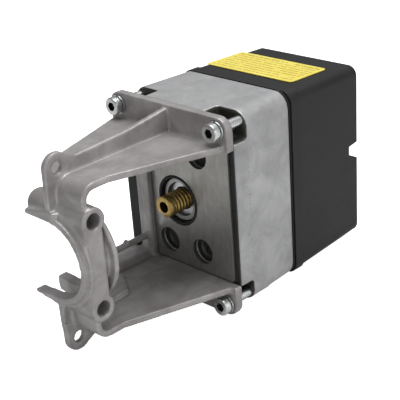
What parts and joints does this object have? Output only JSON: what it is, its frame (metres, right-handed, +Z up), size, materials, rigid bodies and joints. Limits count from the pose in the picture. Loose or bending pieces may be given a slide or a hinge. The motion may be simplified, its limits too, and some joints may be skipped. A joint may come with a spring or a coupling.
{
  "type": "motorised actuator head",
  "caption": "Motorised valve actuator: black cover over a cast gearbox, a threaded brass stem and a cast yoke whose saddle clamps a valve neck.",
  "frame": {"origin": "middle of the whole object's box; the stem's axis passes through it", "axes": "+X along the stem from the yoke's saddle to the cover's end, +Z up across the two yoke arms, +Y away from the flat pad that the U-bolt's nuts seat on"},
  "size_m": [0.1694, 0.0742, 0.0964],
  "materials": {
    "yoke_alloy": "as-cast, satin",
    "gearbox_alloy": "as-cast, mottled",
    "zinc_steel": "bright zinc",
    "plate_steel": "rolled sheet",
    "dark_steel": "oiled black",
    "gear_steel": "machined",
    "stem_brass": "machined",
    "black_rubber": "matt",
    "cover_plastic": "fine moulded texture",
    "label_film": "satin printed film",
    "board_laminate": "solder mask",
    "terminal_plastic": "moulded",
    "black_component": "moulded",
    "white_component": "moulded"
  },
  "bodies": {
    "body": {"yoke_casting": "yoke_alloy", "gearbox_housing": "gearbox_alloy", "cap_screw_upper_near": "zinc_steel", "cap_screw_upper_far": "zinc_steel", "cap_screw_lower_near": "zinc_steel", "cap_screw_lower_far": "zinc_steel", "split_washer_upper_near": "zinc_steel", "split_washer_upper_far": "zinc_steel", "split_washer_lower_near": "zinc_steel", "split_washer_lower_far": "zinc_steel", "cover_screw_near": "zinc_steel", "cover_screw_far": "zinc_steel", "cover_post_near": "zinc_steel", "cover_post_far": "zinc_steel", "board_screw_1": "zinc_steel", "board_screw_2": "zinc_steel", "guide_rod": "zinc_steel", "second_gear_pin": "zinc_steel", "third_gear_pin": "zinc_steel", "stem_bush": "zinc_steel", "front_plate": "plate_steel", "gear_plate": "plate_steel", "board_bracket": "plate_steel", "motor_flange": "plate_steel", "motor_can": "plate_steel", "plate_screw_1": "dark_steel", "plate_screw_2": "dark_steel", "front_bearing": "gear_steel", "rear_bearing": "gear_steel", "stem_seal_ring": "black_rubber", "yoke_gasket": "black_rubber", "cover_gasket": "black_rubber", "cover": "cover_plastic", "label": "label_film", "circuit_board": "board_laminate", "terminal_block": "terminal_plastic", "capacitor": "black_component", "slide_potentiometer": "black_component", "motor_end_bell": "black_component", "relay": "white_component"},
    "stem": {"stem": "stem_brass", "follower_arm": "white_component", "wiper": "stem_brass"},
    "drive_nut": {"drive_nut_gear": "gear_steel"},
    "second_gear": {"second_gear": "gear_steel"},
    "third_gear": {"third_gear": "gear_steel"},
    "rotor": {"motor_pinion": "stem_brass", "motor_shaft": "zinc_steel"}
  },
  "joints": [
    {"name": "nut_spin", "type": "hinge", "parent": "body", "child": "drive_nut", "pos_m": [0.01175, 0, 0], "axis": [1, 0, 0], "range_deg": [0, 3420]},
    {"name": "stem_slide", "type": "slide", "parent": "body", "child": "stem", "axis": [-1, 0, 0], "range_m": [0, 0.019]},
    {"name": "second_gear_spin", "type": "hinge", "parent": "body", "child": "second_gear", "pos_m": [0.01175, -0.01201, 0.02529], "axis": [1, 0, 0], "range_deg": [-12541, 0]},
    {"name": "third_gear_spin", "type": "hinge", "parent": "body", "child": "third_gear", "pos_m": [0.01175, 0.00799, 0.02529], "axis": [1, 0, 0], "range_deg": [0, 50161]},
    {"name": "motor_spin", "type": "hinge", "parent": "body", "child": "rotor", "pos_m": [0.01175, 0.01673, 0.01487], "axis": [1, 0, 0], "range_deg": [-120385, 0]}
  ],
  "couplings": [
    {"joint": "stem_slide", "follows": "nut_spin", "m_per_rad": 0.0003183},
    {"joint": "second_gear_spin", "follows": "nut_spin", "ratio": -3.6667},
    {"joint": "third_gear_spin", "follows": "nut_spin", "ratio": 14.667},
    {"joint": "motor_spin", "follows": "nut_spin", "ratio": -35.2}
  ]
}
